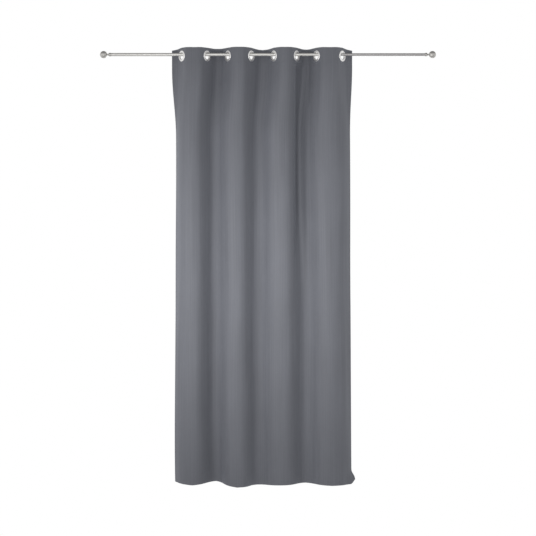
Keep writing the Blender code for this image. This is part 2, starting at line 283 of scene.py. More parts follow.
def vertices_of(node):
    return np.array([vertex.co for vertex in frame["nodes"][node].data.vertices], float)


def eyelet_place(number):
    """An eyelet's centre on the rod's axis line, and the way its axis points into the room."""
    ring = vertices_of(f"eyelet_front_{number}")
    middle = ring.mean(0)
    normal = np.linalg.svd(ring - middle, full_matrices=False)[2][2]
    normal = normal * -np.sign(normal[1])
    return middle - normal * middle[1] / normal[1], normal


def crest_place(number):
    """The middle of the header's cloth at a crest, from its hinge and its outer face."""
    pivot = joint_place(f"crest_{number}")
    low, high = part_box(f"cloth_header_{number}")
    outer = low.y if pivot.y < 0 else high.y
    return np.array([pivot.x, (pivot.y + outer) / 2])


EYELETS = [eyelet_place(number) for number in range(1, FOLDS + 1)]
CRESTS = [crest_place(number) for number in range(1, FOLDS)]
PANEL_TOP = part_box("cloth_header_1")[1].z
PANEL_HEIGHT = PANEL_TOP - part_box("cloth_fold_1")[0].z
EYELET_DROP = PANEL_TOP - EYELETS[0][0][2]


# Numbers

def smooth(value):
    """0 below 0, 1 above 1 and a soft S between."""
    value = np.clip(value, 0, 1)
    return value * value * (3 - 2 * value)


def near(distance, reach):
    """1 at no distance, softly down to 0 at reach."""
    return 1 - smooth(distance / reach)


def bump_at(value, centre, width):
    return np.exp(-((value - centre) / width) ** 2)


def soft_noise(first, second, first_cell, second_cell, seed):
    """Smooth values from -1 to 1 over two coordinates, from a seeded lattice."""
    wide, tall = LATTICE
    lattice = np.random.default_rng(seed).uniform(-1, 1, LATTICE)
    a = first / first_cell + LATTICE_START[0]
    b = second / second_cell + LATTICE_START[1]
    i, j = np.floor(a).astype(int), np.floor(b).astype(int)
    s, t = smooth(a - i), smooth(b - j)

    def corner(di, dj):
        return lattice[(i + di) % wide, (j + dj) % tall]

    upper = corner(0, 0) * (1 - s) + corner(1, 0) * s
    lower = corner(0, 1) * (1 - s) + corner(1, 1) * s
    return upper * (1 - t) + lower * t


def layered_noise(first, second, layers):
    """A sum of soft noises, each with its cell width, cell height, amount and seed."""
    return sum(
        soft_noise(first, second, width, height, seed) * amount for width, height, amount, seed in layers
    )


def bezier(p0, p1, p2, p3, count):
    t = np.linspace(0, 1, count)[:, None]
    p0, p1, p2, p3 = (np.asarray(point, float) for point in (p0, p1, p2, p3))
    return p0 * (1 - t) ** 3 + 3 * p1 * t * (1 - t) ** 2 + 3 * p2 * t ** 2 * (1 - t) + p3 * t ** 3


def lengths_along(points):
    steps = np.linalg.norm(np.diff(points, axis=0), axis=1)
    return np.concatenate([[0], np.cumsum(steps)])


def along_line(across, places, points):
    """Points of a plan line at the given places across."""
    return np.stack([np.interp(across, places, points[:, axis]) for axis in (0, 1)], -1)


# Plan lines of the cloth's middle

def header_half(centre, heading, target, side):
    """From an eyelet's centre to the crest or side edge on its left (-1) or right (+1)."""
    flat_end = centre + side * FLAT_ZONE * heading
    handle = side * FOLD_ROUNDNESS * np.linalg.norm(target - flat_end)
    leave = flat_end + handle * heading
    arrive = target - handle * np.array([1, 0])
    curve = bezier(flat_end, leave, arrive, target, CURVE_POINTS)
    return np.vstack([np.linspace(centre, flat_end, FLAT_POINTS)[:-1], curve])


def header_line():
    """The header's plan line as stretches between the eyelets and the crests, left to right."""
    stretches = []
    for index, (middle, normal) in enumerate(EYELETS):
        centre = middle[:2]
        heading = np.array([-normal[1], normal[0]])
        left = CRESTS[index - 1] if index else centre + np.array([-SIDE_EDGE[0], SIDE_EDGE[1]])
        right = CRESTS[index] if index < FOLDS - 1 else centre + np.array(SIDE_EDGE)
        stretches.append(header_half(centre, heading, left, -1)[::-1])
        stretches.append(header_half(centre, heading, right, 1))
    return stretches


STRETCHES = header_line()
KNOTS = np.concatenate([[0], np.cumsum([lengths_along(stretch)[-1] for stretch in STRETCHES])])
PANEL_WIDTH = KNOTS[-1]
EYELET_ACROSS = KNOTS[1::2]
CREST_ACROSS = KNOTS[0::2]             # side edges included


def header_plan(across):
    """The header's plan line at the given places across."""
    places = np.concatenate([start + lengths_along(stretch) for start, stretch in zip(KNOTS, STRETCHES)])
    return along_line(across, places, np.vstack(STRETCHES))


def wave_plan(across, line, handles):
    """A soft wave through the given crests, each stretch taking up the cloth between its crests."""
    points, places = [], []
    for index, (start, end) in enumerate(zip(line, line[1:])):
        start, end = np.array(start), np.array(end)
        width = end[0] - start[0]
        leave = start + np.array([handles[index] * width, 0])
        arrive = end - np.array([handles[index + 1] * width, 0])
        if index == 0:
            leave = start + EDGE_HANDLE * (end - start)
        if index == len(line) - 2:
            arrive = end - EDGE_HANDLE * (end - start)
        stretch = bezier(start, leave, arrive, end, WAVE_POINTS)
        along = lengths_along(stretch)
        low, high = CREST_ACROSS[index], CREST_ACROSS[index + 1]
        points.append(stretch)
        places.append(low + along / along[-1] * (high - low))
    return along_line(across, np.concatenate(places), np.vstack(points))


# The cloth as a grid

def grid_columns():
    columns = [SIDE_LINES, PANEL_WIDTH - SIDE_LINES]
    for low, high in zip(KNOTS, KNOTS[1:]):
        inner = np.linspace(low, high, int(np.ceil((high - low) / COLUMN_STEP)) + 1)
        columns.append(inner[(inner > SIDE_CLEAR) & (inner < PANEL_WIDTH - SIDE_CLEAR)])
    return np.unique(np.round(np.concatenate(columns), 9))


def grid_rows():
    header = np.arange(HEADER_ROWS[0], HEADER_HEIGHT - HEADER_ROWS[1], HEADER_STEP)
    plain = np.arange(HEADER_HEIGHT + PLAIN_ROWS[0], PANEL_HEIGHT - PLAIN_ROWS[1], DROP_STEP)
    rows = [TOP_LINES, header, HEADER_HEIGHT + SEAM_LINES, plain, PANEL_HEIGHT - HEM_LINES]
    return np.unique(np.round(np.concatenate(rows), 9))


ACROSS = grid_columns()
DROP = grid_rows()


def hanging_plan(across, soften, share):
    """The cloth in plan: the header's line, fading into the soft wave and on to the hem's."""
    soften = soften[..., None]
    lower = (smooth(share)[..., None] + share[..., None]) / 2
    soft = wave_plan(across, SOFT_LINE, SOFT_HANDLES)
    hem = wave_plan(across, HEM_LINE, HEM_HANDLES)
    return header_plan(across) * (1 - soften) + (soft * (1 - lower) + hem * lower) * soften


def top_sag(across):
    """How far the top edge sags at each crest; nothing at the eyelets."""
    heights = np.zeros(len(KNOTS))
    heights[0::2] = TOP_SAG
    return np.interp(across, KNOTS, heights)


def right_corner(across, drop, size):
    """1 at the hem's right corner, down to 0 at size from it."""
    return near(PANEL_WIDTH - across, size[0]) * near(PANEL_HEIGHT - drop, size[1])


def height_change(across, drop, share):
    """How much higher the cloth hangs than its drop says: wavy edges, drooped and curled corners."""
    side = np.minimum(across, PANEL_WIDTH - across)
    rise = share ** 2 * np.interp(across, CREST_ACROSS, HEM_RISE)
    corner = np.clip(1 - side / CORNER_DROOP_WIDTH, 0, 1) ** CORNER_DROOP_POWER
    droop = CORNER_DROOP * corner * near(drop - CORNER_DROOP_START, CORNER_DROOP_OVER)
    sag = top_sag(across) * near(drop, TOP_SAG_OVER)
    return rise - droop - sag + CORNER_LIFT * right_corner(across, drop, CORNER_LIFT_SIZE)


def tuck(x, drop):
    """How far the sharp tuck sets the cloth back."""
    past = x - TUCK_PLACE
    head = smooth((drop - HEADER_HEIGHT - TUCK_HEAD[0]) / TUCK_HEAD[1])
    down = head * near(drop - TUCK_FOOT[0], TUCK_FOOT[1])
    wall = smooth((past + TUCK_LEAD) / TUCK_WALL)
    return TUCK_DEPTH * down * wall * near(past - TUCK_BACK[0], TUCK_BACK[1])


def creases(across, drop):
    """How far the small creases set the cloth back."""
    down = smooth((drop - CREASE_HEAD[0]) / CREASE_HEAD[1]) * near(drop - CREASE_FOOT[0], CREASE_FOOT[1])
    depth = 0
    for place, pinch in zip(CREST_ACROSS[2:-1:2], CREASES):
        inward = bump_at(across, place + CREASE_PINCH[0], CREASE_PINCH[1])
        outward = bump_at(across, place + CREASE_SWELL[0], CREASE_SWELL[1])
        depth = depth + pinch * down * (inward - CREASE_SWELL_SHARE * outward)
    return depth


def cloth_middle(across, drop):
    """The middle of the hanging cloth, from a row of across and a column of drop values."""
    soften = smooth((drop - HEADER_HEIGHT - SOFTENS_BELOW) / SOFTENS_OVER)
    share = np.clip((drop - HEADER_HEIGHT) / (PANEL_HEIGHT - HEADER_HEIGHT), 0, 1)
    plan = hanging_plan(across, soften, share)
    flare = right_corner(across, drop, CORNER_FLARE_SIZE)
    x = plan[..., 0] + layered_noise(across, drop, WANDER_ALONG) * soften + CORNER_FLARE[0] * flare
    y = plan[..., 1] + layered_noise(across, drop, WANDER_DEEP) * soften + CORNER_FLARE[1] * flare
    y = y + tuck(x, drop) + creases(across, drop)
    return np.stack([x, y, PANEL_TOP - drop + height_change(across, drop, share)], -1)


def surface_normals(points):
    """Unit normals of the grid's points, towards the room."""
    down = np.gradient(points, DROP, axis=0)
    along = np.gradient(points, ACROSS, axis=1)
    normals = np.cross(down, along)
    return normals / np.linalg.norm(normals, axis=-1, keepdims=True)


def pucker(across, drop):
    """Small gathers beside the seams, as the thread draws the cloth."""
    side = np.minimum(across, PANEL_WIDTH - across)
    below, width = HEADER_PUCKER_PLACE
    at_header = bump_at(drop, HEADER_HEIGHT + below, width)
    at_hem = bump_at(drop, PANEL_HEIGHT - HEM_HEIGHT, HEM_PUCKER_WIDTH)
    start, over = SIDE_PUCKER_START
    at_sides = bump_at(side, SIDE_HEM, SIDE_PUCKER_WIDTH) * smooth((drop - start) / over)
    header = layered_noise(across, drop, HEADER_PUCKER) * at_header
    hem = layered_noise(across, drop, HEM_PUCKER) * at_hem
    sides = layered_noise(across, drop, SIDE_PUCKER) * at_sides
    return header + hem + sides


def seam_pinch(side, drop):
    """How deep the thread draws the cloth in along the seams."""
    header_depth, header_width = HEADER_SEAM_PINCH
    hem_depth, hem_width = HEM_SEAM_PINCH
    header = bump_at(drop, HEADER_HEIGHT - SEAM_UP, header_width)
    hem = bump_at(drop, PANEL_HEIGHT - HEM_HEIGHT + STITCH_INSET, hem_width)
    sides = bump_at(side, SIDE_HEM - STITCH_INSET, SIDE_SEAM_WIDTH)
    sides = sides * smooth((drop - HEADER_HEIGHT) / (2 * STEP_OVER))
    return header_depth * header + hem_depth * np.maximum(hem, sides)


def rounded(front, back, distance, radius):
    """Both faces drawn together near an edge."""
    inward = 1 - np.clip(distance / radius, 0, 1)
    share = np.sqrt(np.clip(1 - inward ** 2, 0, 1)) * (1 - EDGE_BLUNT) + EDGE_BLUNT
    middle = (front - back) / 2
    half = (front + back) / 2 * share
    return middle + half, half - middle


def cloth_faces(across, drop):
    """How far the room face and the wall face stand from the cloth's middle."""
    side = np.minimum(across, PANEL_WIDTH - across)
    up = PANEL_HEIGHT - drop
    flap = near(drop - HEADER_HEIGHT + FLAP_LEAD, STEP_OVER)
    hem = near(up - HEM_HEIGHT + HEM_LEAD, STEP_OVER)
    side_hem = near(side - SIDE_HEM + HEM_LEAD, STEP_OVER) * (1 - flap)
    hems = np.maximum(hem, side_hem)
    half = CLOTH_THICKNESS / 2
    front = half + (HEADER_HALF - half) * near(drop - HEADER_HEIGHT, HEADER_TAPER)
    back = CLOTH_THICKNESS - front
    back = back + (HEADER_HALF - back) * flap
    back = back + HEM_LAYERS * CLOTH_THICKNESS * hems * (1 - flap)
    pinch = seam_pinch(side, drop)
    swell = pucker(across, drop)
    front = front + HEM_SHOWS * hems - pinch + swell
    back = back - BACK_PINCH * pinch - swell
    for distance, radius in ((drop, HEADER_HALF), (up, EDGE_RADIUS), (side, EDGE_RADIUS)):
        front, back = rounded(front, back, distance, radius)
    return front, back


def new_piece(name, points, faces, material):
    """A smooth mesh object in the scene."""
    mesh = bpy.data.meshes.new(name)
    mesh.from_pydata(points, [], faces)
    mesh.materials.append(material)
    mesh.shade_smooth()
    piece = bpy.data.objects.new(name, mesh)
    bpy.context.collection.objects.link(piece)
    return piece


def kept_cells(across, drop):
    """Which of the grid's cells stay, outside the holes at the eyelets."""
    middle_across = (across[1:] + across[:-1])[None, :] / 2
    middle_drop = (drop[1:] + drop[:-1])[:, None] / 2
    keep = np.ones((len(drop) - 1, len(across) - 1), bool)
    for place in EYELET_ACROSS:
        keep &= np.hypot(middle_across - place, middle_drop - EYELET_DROP) > HOLE_RADIUS
    return keep


def shell_faces(keep):
    """Faces of the kept cells' room and wall sides, and of the rim that closes them."""
    height, width = keep.shape
    index = np.arange((height + 1) * (width + 1)).reshape(height + 1, width + 1)
    a, b, c, d = index[:-1, :-1], index[1:, :-1], index[1:, 1:], index[:-1, 1:]
    rear = index.size
    padded = np.pad(keep, 1)
    up, down = keep & ~padded[:-2, 1:-1], keep & ~padded[2:, 1:-1]
    left, right = keep & ~padded[1:-1, :-2], keep & ~padded[1:-1, 2:]
    sides = np.vstack([
        np.stack([a, b, c, d], -1)[keep],
        np.stack([a, d, c, b], -1)[keep] + rear,
    ])
    rim = np.vstack([
        np.stack([a, d, d + rear, a + rear], -1)[up],
        np.stack([c, b, b + rear, c + rear], -1)[down],
        np.stack([b, a, a + rear, b + rear], -1)[left],
        np.stack([d, c, c + rear, d + rear], -1)[right],
    ])
    return sides, rim


def rim_normals(points, faces):
    corners = points[faces]
    normals = np.cross(corners[:, 2] - corners[:, 0], corners[:, 3] - corners[:, 1])
    return normals / np.maximum(np.linalg.norm(normals, axis=1, keepdims=True), 1e-12)


def grid_shell(name, surfaces, columns, rows, material):
    """A closed sheet between two grids of points, over some columns and rows, open at the eyelets."""
    (front, front_normal), (back, back_normal) = surfaces
    across, drop = ACROSS[columns], DROP[rows]
    sides, rim = shell_faces(kept_cells(across, drop))
    window = np.ix_(rows, columns)
    points = np.vstack([front[window].reshape(-1, 3), back[window].reshape(-1, 3)])
    normals = np.vstack([front_normal[window].reshape(-1, 3), -back_normal[window].reshape(-1, 3)])
    places = np.stack(np.broadcast_arrays(across[None, :], drop[:, None]), -1).reshape(-1, 2)
    places = np.vstack([places, places]).astype(np.float32)
    used, faces = np.unique(np.vstack([sides, rim]), return_inverse=True)
    faces = faces.reshape(-1, 4)
    corners = used[faces.ravel()]
    piece = new_piece(name, points[used], faces, material)
    flat_map = piece.data.uv_layers.new(name=CLOTH_MAP)
    flat_map.uv.foreach_set("vector", places[corners].ravel())
    corner_normals = normals[corners]
    corner_normals[sides.size:] = np.repeat(rim_normals(points, rim), 4, axis=0)
    piece.data.normals_split_custom_set(corner_normals)
    return piece


def cloth_surfaces():
    """Points and normals of the cloth's room face and wall face, over the whole grid."""
    across, drop = ACROSS[None, :], DROP[:, None]
    middle = cloth_middle(across, drop)
    towards_room = surface_normals(middle)
    front, back = cloth_faces(across, drop)
    room = middle + towards_room * front[..., None]
    wall = middle - towards_room * back[..., None]
    return (room, surface_normals(room)), (wall, surface_normals(wall))


def tape_surfaces():
    """Points and normals of both faces of the stiffening tape inside the header."""
    middle = cloth_middle(ACROSS[None, :], DROP[:, None])
    towards_room = surface_normals(middle)
    half = TAPE_THICKNESS / 2
    return (middle + towards_room * half, towards_room), (middle - towards_room * half, towards_room)


# Sewing

def on_grid(grid, across, drop):
    """The grid's value at any place on the cloth."""
    i = np.interp(drop, DROP, np.arange(len(DROP)))
    j = np.interp(across, ACROSS, np.arange(len(ACROSS)))
    i0 = np.minimum(i.astype(int), len(DROP) - 2)
    j0 = np.minimum(j.astype(int), len(ACROSS) - 2)
    s, t = (i - i0)[:, None], (j - j0)[:, None]
    upper = grid[i0, j0] * (1 - t) + grid[i0, j0 + 1] * t
    lower = grid[i0 + 1, j0] * (1 - t) + grid[i0 + 1, j0 + 1] * t
    return upper * (1 - s) + lower * s


def seam_lines():
    """Centres of every stitch: across, drop, and whether the seam runs across or down."""
    header = HEADER_HEIGHT - SEAM_UP
    hem = PANEL_HEIGHT - HEM_HEIGHT + STITCH_INSET
    side = SIDE_HEM - STITCH_INSET
    width = np.arange(side + STITCH_PITCH, PANEL_WIDTH - side - STITCH_PITCH / 2, STITCH_PITCH)
    height = np.arange(HEADER_HEIGHT + STITCH_PITCH, hem - STITCH_PITCH / 2, STITCH_PITCH)
    rows = [(width, np.full_like(width, header), True), (width, np.full_like(width, hem), True)]
    for edge in (side, PANEL_WIDTH - side):
        rows.append((np.full_like(height, edge), height, False))
    return rows


def stitch_points(surface, outward, across, drop, step):
    """Ten points of each stitch in a row: its sunk ends, and two rings of four between them."""
    grid, normal_grid = surface
    centre = on_grid(grid, across, drop)
    before = on_grid(grid, across - step[0], drop - step[1])
    after = on_grid(grid, across + step[0], drop + step[1])
    normal = outward * on_grid(normal_grid, across, drop)
    tangent = (after - before) / np.linalg.norm(after - before, axis=1, keepdims=True)
    side = np.cross(normal, tangent)
    points = [before - normal * STITCH_WIDTH * STITCH_SINK]
    for along in (-STITCH_WAIST, STITCH_WAIST):
        for sideways, raised in STITCH_RING:
            offset = side * sideways + normal * (raised + STITCH_LIFT)
            points.append(centre + tangent * along * STITCH_LENGTH / 2 + offset * STITCH_WIDTH)
    points.append(after - normal * STITCH_WIDTH * STITCH_SINK)
    return np.stack(points, 1).reshape(-1, 3)


def stitch_faces(first, count):
    """Faces of a row of stitches whose points start at first; a triangle ends on its first corner."""
    base = first + 10 * np.arange(count)[:, None]
    faces = []
    for k in range(4):
        n = (k + 1) % 4
        faces.append(base + np.array([0, 1 + n, 1 + k, 0]))
        faces.append(base + np.array([1 + k, 1 + n, 5 + n, 5 + k]))
        faces.append(base + np.array([9, 5 + k, 5 + n, 9]))
    return np.vstack(faces)


def stitches(name, surfaces, low, high, material):
    """Raised thread stitches on both faces between two places across the cloth, as one mesh."""
    points, faces = [], []
    count = 0
    for across, drop, runs_across in seam_lines():
        chosen = (across >= low) & (across < high)
        if not chosen.any():
            continue
        across, drop = across[chosen], drop[chosen]
        step = np.array([1, 0] if runs_across else [0, 1]) * STITCH_LENGTH / 2
        for surface, outward in zip(surfaces, (1, -1)):
            row = stitch_points(surface, outward, across, drop, step)
            points.append(row)
            faces.append(stitch_faces(count, len(across)))
            count += len(row)
    faces = np.vstack(faces).tolist()
    polygons = [face[:3] if face[0] == face[3] else face for face in faces]
    return new_piece(name, np.vstack(points), polygons, material)


# Turned pieces

def turned(name, profile, steps, matrix, material, sharp=35):
    """A closed profile of (radius, height) points, outer side running down, turned about local Z."""
    profile = np.array(profile, float)
    angles = 2 * pi * np.arange(steps) / steps
    count = len(profile)
    points = np.stack([
        np.outer(np.cos(angles), profile[:, 0]), np.outer(np.sin(angles), profile[:, 0]),
        np.broadcast_to(profile[:, 1], (steps, count)),
    ], -1).reshape(-1, 3)
    faces = []
    for step in range(steps):
        turn = (step + 1) % steps
        for k in range(count):
            n = (k + 1) % count
            faces.append((step * count + k, step * count + n, turn * count + n, turn * count + k))
    piece = new_piece(name, points, faces, material)
    piece.data.set_sharp_from_angle(angle=radians(sharp))
    piece.matrix_world = matrix
    bpy.context.view_layer.update()
    return piece


def arc(centre, radius, start, end, count):
    """Points on an arc of (radius, height) places; angles in degrees, 0 outwards, 90 up."""
    angles = np.radians(np.linspace(start, end, count))
    return [(centre[0] + radius[0] * cos(angle), centre[1] + radius[1] * sin(angle)) for angle in angles]


def eyelet_front_profile():
    """Domed flange with a rolled lip into the bore, and the barrel behind it."""
    bore, rim = EYELET_BORE / 2, EYELET_DIAMETER / 2
    crown = bore + FRONT_CROWN * (rim - bore)
    inner = arc((crown, EYELET_SEAT - EYELET_LIP), (crown - bore, FRONT_DOME + EYELET_LIP), 90, 176, 14)
    outer = arc((crown, EYELET_SEAT), (rim - crown, FRONT_DOME), 4, 90, 14)
    barrel_end = -(EYELET_SEAT + BACK_DOME * BARREL_REACH)
    barrel = bore + EYELET_WALL
    seat = EYELET_SEAT - EYELET_FIT
    under = [(bore, barrel_end), (barrel, barrel_end), (barrel, seat), (rim - EYELET_RIM, seat)]
    return inner + under + outer


def eyelet_back_profile():
    """Lower flange, with the clenched barrel's roll on it."""
    inner, rim = EYELET_BORE / 2 + EYELET_WALL + EYELET_FIT, EYELET_DIAMETER / 2
    crown = inner + BACK_CROWN * (rim - inner)
    outer = arc((crown, -EYELET_SEAT), (rim - crown, BACK_DOME), 0, -90, 12)
    roll = arc((crown, -EYELET_SEAT), (crown - inner, BACK_DOME), -90, -180, 8)
    return outer + roll


def eyelet_matrix(number):
    middle, normal = EYELETS[number - 1]
    axis = Vector(normal)
    up = Vector((0, 0, 1))
    side = up.cross(axis).normalized()
    rotation = Matrix((side, up, axis)).transposed().to_4x4()
    return Matrix.Translation(middle) @ rotation


def build_eyelets(material):
    """Both halves of each eyelet, on its fold."""
    for number in range(1, FOLDS + 1):
        for side, profile in (("front", eyelet_front_profile()), ("back", eyelet_back_profile())):
            piece = turned(f"ring_{side}_{number}", profile, EYELET_STEPS, eyelet_matrix(number), material)
            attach(piece, f"fold_{number}")
            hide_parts(f"eyelet_{side}_{number}")


def tube_profile(radius, length):
    """A tube's wall with eased lips, from its far end down."""
    lip = TUBE_LIP
    inner = radius - TUBE_WALL
    return [
        (inner + lip, length), (radius - lip, length), (radius, length - lip), (radius, lip),
        (radius - lip, 0), (inner + lip, 0), (inner, lip), (inner, length - lip),
    ]


def build_tube(cad_tube, body, material):
    """A finer tube in place of the plain one."""
    low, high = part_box(cad_tube)
    place = Matrix.Translation((low.x, 0, 0)) @ Matrix.Rotation(pi / 2, 4, "Y")
    profile = tube_profile((high.z - low.z) / 2, high.x - low.x)
    piece = turned(f"{cad_tube}_turned", profile, ROD_STEPS, place, material)
    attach(piece, body)
    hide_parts(cad_tube)


def ball_and_neck_profile(ball_radius, neck_foot, tip, stud_end):
    """Ball, coved neck with a small bead, and the stud; heights run outwards from the tube's end."""
    centre = tip - ball_radius
    last = pi - asin(NECK_RADIUS * (1 + NECK_FLARE) / ball_radius)
    angles = np.linspace(BALL_TOP, last, BALL_STEPS)
    ball = [(ball_radius * sin(angle), centre + ball_radius * cos(angle)) for angle in angles]
    length = ball[-1][1] - neck_foot
    cove = [
        (NECK_RADIUS * (1 + NECK_FLARE * (2 * t - 1) ** 2), neck_foot + length * (1 - t))
        for t in np.linspace(*NECK_COVE, 7)
    ]
    bead = arc((NECK_RADIUS, neck_foot + BEAD_RADIUS), (BEAD_RADIUS, BEAD_RADIUS), 80, -90, 8)
    stud = [(STUD_RADIUS, neck_foot), (STUD_RADIUS, stud_end), (STUD_TIP, stud_end)]
    return ball + cove + bead + stud


def collar_profile(radius, low, high):
    """Collar with a shallow groove and rounded shoulders."""
    shoulder = COLLAR_SHOULDER
    hole = STUD_RADIUS + FINIAL_FIT
    middle = (low + high) / 2
    top = arc((radius - shoulder, high - shoulder), (shoulder, shoulder), 90, 0, 6)
    bottom = arc((radius - shoulder, low + shoulder), (shoulder, shoulder), 0, -90, 6)
    groove = [
        (radius, middle + GROOVE_MOUTH), (radius - GROOVE_DEPTH, middle + GROOVE_FLOOR),
        (radius - GROOVE_DEPTH, middle - GROOVE_FLOOR), (radius, middle - GROOVE_MOUTH),
    ]
    return [(hole, high)] + top + groove + bottom + [(hole, low)]


def build_finial(side, outward, metal):
    """Finer ball and collar of one finial, in place of the plain ones."""
    ball_low, ball_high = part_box(f"{side}_finial_ball")
    collar_low, collar_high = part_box(f"{side}_finial_collar")
    end = (collar_low.x if outward > 0 else collar_high.x) - outward * FINIAL_FIT
    place = Matrix.Translation((end, 0, 0)) @ Matrix.Rotation(outward * pi / 2, 4, "Y")
    collar_reach = abs((collar_high.x if outward > 0 else collar_low.x) - end)
    tip = abs((ball_high.x if outward > 0 else ball_low.x) - end)
    stud_end = -abs((ball_low.x if outward > 0 else ball_high.x) - end)
    ball_radius = (ball_high.z - ball_low.z) / 2
    collar_radius = (collar_high.z - collar_low.z) / 2
    ball = ball_and_neck_profile(ball_radius, collar_reach + FINIAL_FIT, tip, stud_end)
    collar = collar_profile(collar_radius, FINIAL_FIT, collar_reach)
    for part, profile in (("ball", ball), ("collar", collar)):
        piece = turned(f"{side}_finial_{part}_turned", profile, ROD_STEPS, place, metal)
        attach(piece, f"{side}_finial")
        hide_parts(f"{side}_finial_{part}")


# Materials

def new_material(name, colour, roughness, metallic=0.0):
    material = bpy.data.materials.new(name)
    material.use_nodes = True
    shader = material.node_tree.nodes["Principled BSDF"]
    shader.inputs["Base Color"].default_value = (*colour, 1)
    shader.inputs["Roughness"].default_value = roughness
    shader.inputs["Metallic"].default_value = metallic
    return material, material.node_tree, shader


def tinted(colour, factor):
    return tuple(channel * factor for channel in colour)


def cloth_place(tree):
    """Across and drop at each point of the cloth, in metres."""
    made = tree.nodes.new("ShaderNodeUVMap")
    made.uv_map = CLOTH_MAP
    return made.outputs["UV"]


def object_place(tree):
    return tree.nodes.new("ShaderNodeTexCoord").outputs["Object"]


def scaled_coordinates(tree, source, scale):
    mapping = tree.nodes.new("ShaderNodeMapping")
    mapping.inputs["Scale"].default_value = scale
    tree.links.new(source, mapping.inputs["Vector"])
    return mapping.outputs["Vector"]


def noise(tree, vector, scale, detail=2.0, rough=0.5):
    """Noise of about scale patches to the metre, along each axis."""
    made = tree.nodes.new("ShaderNodeTexNoise")
    made.inputs["Scale"].default_value = 1.0
    made.inputs["Detail"].default_value = detail
    made.inputs["Roughness"].default_value = rough
    tree.links.new(scaled_coordinates(tree, vector, scale), made.inputs["Vector"])
    return made.outputs["Fac"]


def ramp(tree, value, low, high, from_low=0.3, from_high=0.7):
    """The value mapped from one range to another."""
    made = tree.nodes.new("ShaderNodeMapRange")
    made.inputs["From Min"].default_value = from_low
    made.inputs["From Max"].default_value = from_high
    made.inputs["To Min"].default_value = low
    made.inputs["To Max"].default_value = high
    tree.links.new(value, made.inputs["Value"])
    return made.outputs["Result"]


def maths(tree, operation, first, second):
    made = tree.nodes.new("ShaderNodeMath")
    made.operation = operation
    for socket, value in zip(made.inputs, (first, second)):
        if isinstance(value, (int, float)):
            socket.default_value = value
        else:
            tree.links.new(value, socket)
    return made.outputs["Value"]


def weighted(tree, *parts):
    """The sum of values, each with its weight."""
    total = None
    for value, weight in parts:
        value = maths(tree, "MULTIPLY", value, weight)
        total = value if total is None else maths(tree, "ADD", total, value)
    return total


def blend_colours(tree, factor, first, second):
    made = tree.nodes.new("ShaderNodeMix")
    made.data_type = "RGBA"
    share, colours, mixed = made.inputs[0], made.inputs[6:8], made.outputs[2]
    for socket, colour in zip(colours, (first, second)):
        socket.default_value = (*colour, 1)
    tree.links.new(factor, share)
    return mixed


def bump(tree, height, strength, distance, under=None):
    made = tree.nodes.new("ShaderNodeBump")
    made.inputs["Strength"].default_value = strength
    made.inputs["Distance"].default_value = distance
    tree.links.new(height, made.inputs["Height"])
    if under is not None:
        tree.links.new(under, made.inputs["Normal"])
    return made.outputs["Normal"]


def weave_height(tree, flat, yarns, weft):
    """Plain weave: yarns that rise and sink by turns both ways, a little uneven."""
    parts = tree.nodes.new("ShaderNodeSeparateXYZ")
    tree.links.new(flat, parts.inputs["Vector"])
    turns = 2 * pi / YARN_PITCH
    waves = [
        maths(tree, "SINE", maths(tree, "MULTIPLY", parts.outputs[axis], turns), 0) for axis in ("X", "Y")
    ]
    return weighted(tree, (maths(tree, "MULTIPLY", *waves), 0.5), (yarns, 1.4), (weft, 1.0))


def cloth_material():
    """Slate-grey satin weave: fine yarns, long faint streaks down the cloth and uneven weft yarns."""
    material, tree, shader = new_material("slate_cloth", CLOTH_COLOUR, 0.7)
    flat = cloth_place(tree)
    streaks = noise(tree, flat, (180, 1.3, 1), 3.0, 0.6)
    yarns = noise(tree, flat, (900, 30, 1), 2.0, 0.6)
    weft = noise(tree, flat, (22, 1100, 1), 2.0, 0.6)
    clouds = noise(tree, flat, (5, 3, 1), 2.0, 0.5)
    tone = weighted(tree, (streaks, 0.45), (clouds, 0.2), (yarns, 0.2), (weft, 0.15))
    spread_tone = ramp(tree, tone, 0, 1, 0.36, 0.64)
    colour = blend_colours(tree, spread_tone, tinted(CLOTH_COLOUR, 0.84), tinted(CLOTH_COLOUR, 1.16))
    tree.links.new(colour, shader.inputs["Base Color"])
    tree.links.new(ramp(tree, tone, 0.60, 0.76), shader.inputs["Roughness"])
    streaky = bump(tree, streaks, 0.35, 0.0006)
    woven = bump(tree, weave_height(tree, flat, yarns, weft), 0.55, 0.00010, streaky)
    tree.links.new(woven, shader.inputs["Normal"])
    shader.inputs["Sheen Weight"].default_value = 0.35
    shader.inputs["Sheen Roughness"].default_value = 0.45
    shader.inputs["Sheen Tint"].default_value = (*SHEEN_TINT, 1)
    shader.inputs["Specular IOR Level"].default_value = 0.35
    return material


def thread_material():
    """Polyester sewing thread, twisted, a shade lighter than the cloth."""
    colour = tinted(CLOTH_COLOUR, 1.25)
    material, tree, shader = new_material("sewing_thread", colour, 0.5)
    twist = noise(tree, object_place(tree), (2600, 2600, 2600), 1.0)
    tree.links.new(blend_colours(tree, twist, tinted(colour, 0.8), colour), shader.inputs["Base Color"])
    tree.links.new(ramp(tree, twist, 0.42, 0.62), shader.inputs["Roughness"])
    tree.links.new(bump(tree, twist, 0.4, 0.0001), shader.inputs["Normal"])
    return material


